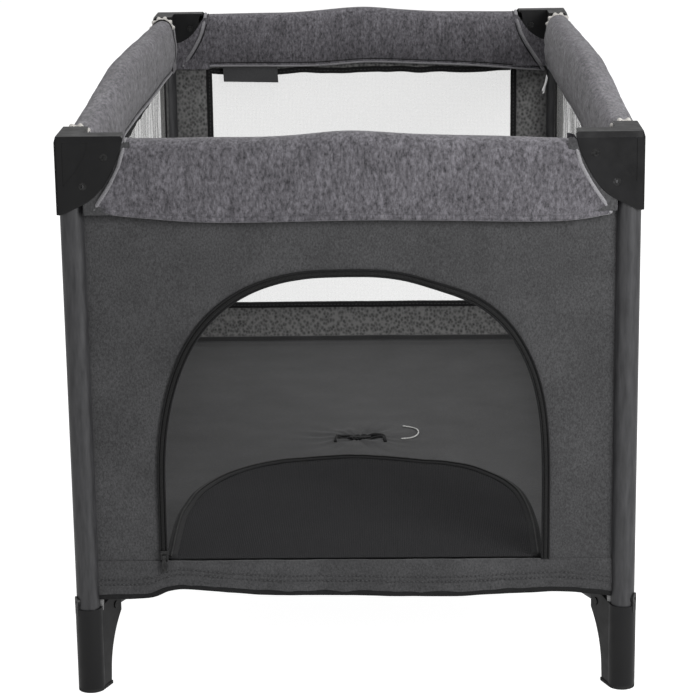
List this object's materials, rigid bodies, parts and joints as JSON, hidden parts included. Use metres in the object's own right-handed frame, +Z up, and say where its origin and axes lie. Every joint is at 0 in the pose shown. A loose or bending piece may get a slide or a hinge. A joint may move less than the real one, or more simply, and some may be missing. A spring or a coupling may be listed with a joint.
{
  "type": "folding travel cot",
  "caption": "Folding playpen with fabric walls, padded top rails, corner posts on boots, a central lift hub and a zipped arched door at one end",
  "frame": {"origin": "centre of the footprint on the floor", "axes": "X width, Y length with the door end at -Y, Z up"},
  "size_m": [0.665, 1.25, 0.677],
  "materials": {
    "frame_tube": "satin",
    "black_plastic": "moulded",
    "steel": "plain",
    "rubber": "matt",
    "wall_fabric": "woven",
    "heather_fabric": "knitted",
    "floor_fabric": "woven",
    "strap": "webbing",
    "zip": "coil"
  },
  "bodies": {
    "post_front_left": {"post_tube_front_left": "frame_tube", "corner_bracket_front_left": "black_plastic", "post_fasteners_front_left": "steel", "foot_boot_front_left": "black_plastic", "foot_pad_front_left": "rubber", "front_panel": "wall_fabric", "left_panel": "wall_fabric", "zip_track": "zip"},
    "post_front_right": {"post_tube_front_right": "frame_tube", "corner_bracket_front_right": "black_plastic", "post_fasteners_front_right": "steel", "foot_boot_front_right": "black_plastic", "foot_pad_front_right": "rubber", "right_panel": "wall_fabric"},
    "post_back_left": {"post_tube_back_left": "frame_tube", "corner_bracket_back_left": "black_plastic", "post_fasteners_back_left": "steel", "foot_boot_back_left": "black_plastic", "foot_pad_back_left": "rubber", "back_panel": "wall_fabric"},
    "post_back_right": {"post_tube_back_right": "frame_tube", "corner_bracket_back_right": "black_plastic", "post_fasteners_back_right": "steel", "foot_boot_back_right": "black_plastic", "foot_pad_back_right": "rubber"},
    "arm_front_left": {"arm_tube_front_left": "frame_tube"},
    "arm_front_right": {"arm_tube_front_right": "frame_tube"},
    "arm_back_left": {"arm_tube_back_left": "frame_tube"},
    "arm_back_right": {"arm_tube_back_right": "frame_tube"},
    "hub": {"hub_body": "black_plastic", "hub_foot": "black_plastic", "hub_pins": "steel", "pull_strap": "strap", "floor_panel": "floor_fabric"},
    "rail_front_left": {"rail_tube_front_left": "frame_tube"},
    "rail_front_right": {"rail_tube_front_right": "frame_tube"},
    "rail_back_left": {"rail_tube_back_left": "frame_tube"},
    "rail_back_right": {"rail_tube_back_right": "frame_tube"},
    "rail_left_front": {"rail_tube_left_front": "frame_tube"},
    "rail_left_back": {"rail_tube_left_back": "frame_tube"},
    "rail_right_front": {"rail_tube_right_front": "frame_tube"},
    "rail_right_back": {"rail_tube_right_back": "frame_tube"},
    "lock_front": {"lock_housing_front": "black_plastic", "lock_pins_front": "steel", "rail_sleeve_front": "heather_fabric"},
    "lock_back": {"lock_housing_back": "black_plastic", "lock_pins_back": "steel", "rail_sleeve_back": "heather_fabric"},
    "lock_left": {"lock_housing_left": "black_plastic", "lock_pins_left": "steel", "rail_sleeve_left": "heather_fabric"},
    "lock_right": {"lock_housing_right": "black_plastic", "lock_pins_right": "steel", "rail_sleeve_right": "heather_fabric"},
    "button_front": {"lock_button_front": "black_plastic"},
    "button_back": {"lock_button_back": "black_plastic"},
    "button_left": {"lock_button_left": "black_plastic"},
    "button_right": {"lock_button_right": "black_plastic"},
    "flap": {"door_flap": "floor_fabric"},
    "slider": {"zip_slider": "zip"}
  },
  "joints": [
    {"name": "fold", "type": "hinge", "parent": "post_front_left", "child": "arm_front_left", "pos_m": [-0.29986, -0.57262, 0.095], "axis": [0.9094, -0.4159, 0], "range_deg": [0, 85], "deforming": ["front_panel", "left_panel", "right_panel", "back_panel", "zip_track", "floor_panel", "door_flap", "rail_sleeve_front", "rail_sleeve_back", "rail_sleeve_left", "rail_sleeve_right"]},
    {"name": "hub_level", "type": "hinge", "parent": "arm_front_left", "child": "hub", "pos_m": [-0.05336, -0.03362, 0.095], "axis": [0.9094, -0.4159, 0], "range_deg": [-85, 0]},
    {"name": "arm_swing_front_right", "type": "hinge", "parent": "hub", "child": "arm_front_right", "pos_m": [0.05336, -0.03362, 0.095], "axis": [0.9094, 0.4159, 0], "range_deg": [0, 85]},
    {"name": "post_upright_front_right", "type": "hinge", "parent": "arm_front_right", "child": "post_front_right", "pos_m": [0.29986, -0.57262, 0.095], "axis": [0.9094, 0.4159, 0], "range_deg": [-85, 0]},
    {"name": "arm_swing_back_left", "type": "hinge", "parent": "hub", "child": "arm_back_left", "pos_m": [-0.05336, 0.03362, 0.095], "axis": [-0.9094, -0.4159, 0], "range_deg": [0, 85]},
    {"name": "post_upright_back_left", "type": "hinge", "parent": "arm_back_left", "child": "post_back_left", "pos_m": [-0.29986, 0.57262, 0.095], "axis": [-0.9094, -0.4159, 0], "range_deg": [-85, 0]},
    {"name": "arm_swing_back_right", "type": "hinge", "parent": "hub", "child": "arm_back_right", "pos_m": [0.05336, 0.03362, 0.095], "axis": [-0.9094, 0.4159, 0], "range_deg": [0, 85]},
    {"name": "post_upright_back_right", "type": "hinge", "parent": "arm_back_right", "child": "post_back_right", "pos_m": [0.29986, 0.57262, 0.095], "axis": [-0.9094, 0.4159, 0], "range_deg": [-85, 0]},
    {"name": "rail_drop_front_left", "type": "hinge", "parent": "post_front_left", "child": "rail_front_left", "pos_m": [-0.2765, -0.609, 0.646], "axis": [0, 1, 0], "range_deg": [0, 85]},
    {"name": "rail_drop_front_right", "type": "hinge", "parent": "post_front_right", "child": "rail_front_right", "pos_m": [0.2765, -0.609, 0.646], "axis": [0, -1, 0], "range_deg": [0, 85]},
    {"name": "rail_drop_back_left", "type": "hinge", "parent": "post_back_left", "child": "rail_back_left", "pos_m": [-0.2765, 0.609, 0.646], "axis": [0, 1, 0], "range_deg": [0, 85]},
    {"name": "rail_drop_back_right", "type": "hinge", "parent": "post_back_right", "child": "rail_back_right", "pos_m": [0.2765, 0.609, 0.646], "axis": [0, -1, 0], "range_deg": [0, 85]},
    {"name": "rail_drop_left_front", "type": "hinge", "parent": "post_front_left", "child": "rail_left_front", "pos_m": [-0.3165, -0.569, 0.646], "axis": [-1, 0, 0], "range_deg": [0, 85]},
    {"name": "rail_drop_left_back", "type": "hinge", "parent": "post_back_left", "child": "rail_left_back", "pos_m": [-0.3165, 0.569, 0.646], "axis": [1, 0, 0], "range_deg": [0, 85]},
    {"name": "rail_drop_right_front", "type": "hinge", "parent": "post_front_right", "child": "rail_right_front", "pos_m": [0.3165, -0.569, 0.646], "axis": [-1, 0, 0], "range_deg": [0, 85]},
    {"name": "rail_drop_right_back", "type": "hinge", "parent": "post_back_right", "child": "rail_right_back", "pos_m": [0.3165, 0.569, 0.646], "axis": [1, 0, 0], "range_deg": [0, 85]},
    {"name": "lock_level_front", "type": "hinge", "parent": "rail_front_left", "child": "lock_front", "pos_m": [-0.03, -0.609, 0.646], "axis": [0, 1, 0], "range_deg": [-85, 0]},
    {"name": "lock_level_back", "type": "hinge", "parent": "rail_back_left", "child": "lock_back", "pos_m": [-0.03, 0.609, 0.646], "axis": [0, 1, 0], "range_deg": [-85, 0]},
    {"name": "lock_level_left", "type": "hinge", "parent": "rail_left_front", "child": "lock_left", "pos_m": [-0.3165, -0.03, 0.646], "axis": [-1, 0, 0], "range_deg": [-85, 0]},
    {"name": "lock_level_right", "type": "hinge", "parent": "rail_right_front", "child": "lock_right", "pos_m": [0.3165, -0.03, 0.646], "axis": [-1, 0, 0], "range_deg": [-85, 0]},
    {"name": "button_press_front", "type": "slide", "parent": "lock_front", "child": "button_front", "axis": [0, 0, 1], "range_m": [0, 0.004], "stiffness_N_per_m": 300},
    {"name": "button_press_back", "type": "slide", "parent": "lock_back", "child": "button_back", "axis": [0, 0, 1], "range_m": [0, 0.004], "stiffness_N_per_m": 300},
    {"name": "button_press_left", "type": "slide", "parent": "lock_left", "child": "button_left", "axis": [0, 0, 1], "range_m": [0, 0.004], "stiffness_N_per_m": 300},
    {"name": "button_press_right", "type": "slide", "parent": "lock_right", "child": "button_right", "axis": [0, 0, 1], "range_m": [0, 0.004], "stiffness_N_per_m": 300},
    {"name": "door_flap_fold", "type": "hinge", "parent": "post_front_left", "child": "flap", "pos_m": [0, -0.6035, 0.161], "axis": [1, 0, 0], "range_deg": [0, 90]},
    {"name": "zip_slide", "type": "slide", "parent": "post_front_left", "child": "slider", "axis": [0, 0, 1], "range_m": [0, 0.12]}
  ],
  "couplings": [
    {"joint": "hub_level", "follows": "fold", "ratio": -1},
    {"joint": "arm_swing_front_right", "follows": "fold", "ratio": 1},
    {"joint": "post_upright_front_right", "follows": "fold", "ratio": -1},
    {"joint": "arm_swing_back_left", "follows": "fold", "ratio": 1},
    {"joint": "post_upright_back_left", "follows": "fold", "ratio": -1},
    {"joint": "arm_swing_back_right", "follows": "fold", "ratio": 1},
    {"joint": "post_upright_back_right", "follows": "fold", "ratio": -1},
    {"joint": "rail_drop_front_left", "follows": "fold", "ratio": 1},
    {"joint": "rail_drop_front_right", "follows": "fold", "ratio": 1},
    {"joint": "rail_drop_back_left", "follows": "fold", "ratio": 1},
    {"joint": "rail_drop_back_right", "follows": "fold", "ratio": 1},
    {"joint": "rail_drop_left_front", "follows": "fold", "ratio": 1},
    {"joint": "rail_drop_left_back", "follows": "fold", "ratio": 1},
    {"joint": "rail_drop_right_front", "follows": "fold", "ratio": 1},
    {"joint": "rail_drop_right_back", "follows": "fold", "ratio": 1},
    {"joint": "lock_level_front", "follows": "fold", "ratio": -1},
    {"joint": "lock_level_back", "follows": "fold", "ratio": -1},
    {"joint": "lock_level_left", "follows": "fold", "ratio": -1},
    {"joint": "lock_level_right", "follows": "fold", "ratio": -1}
  ]
}
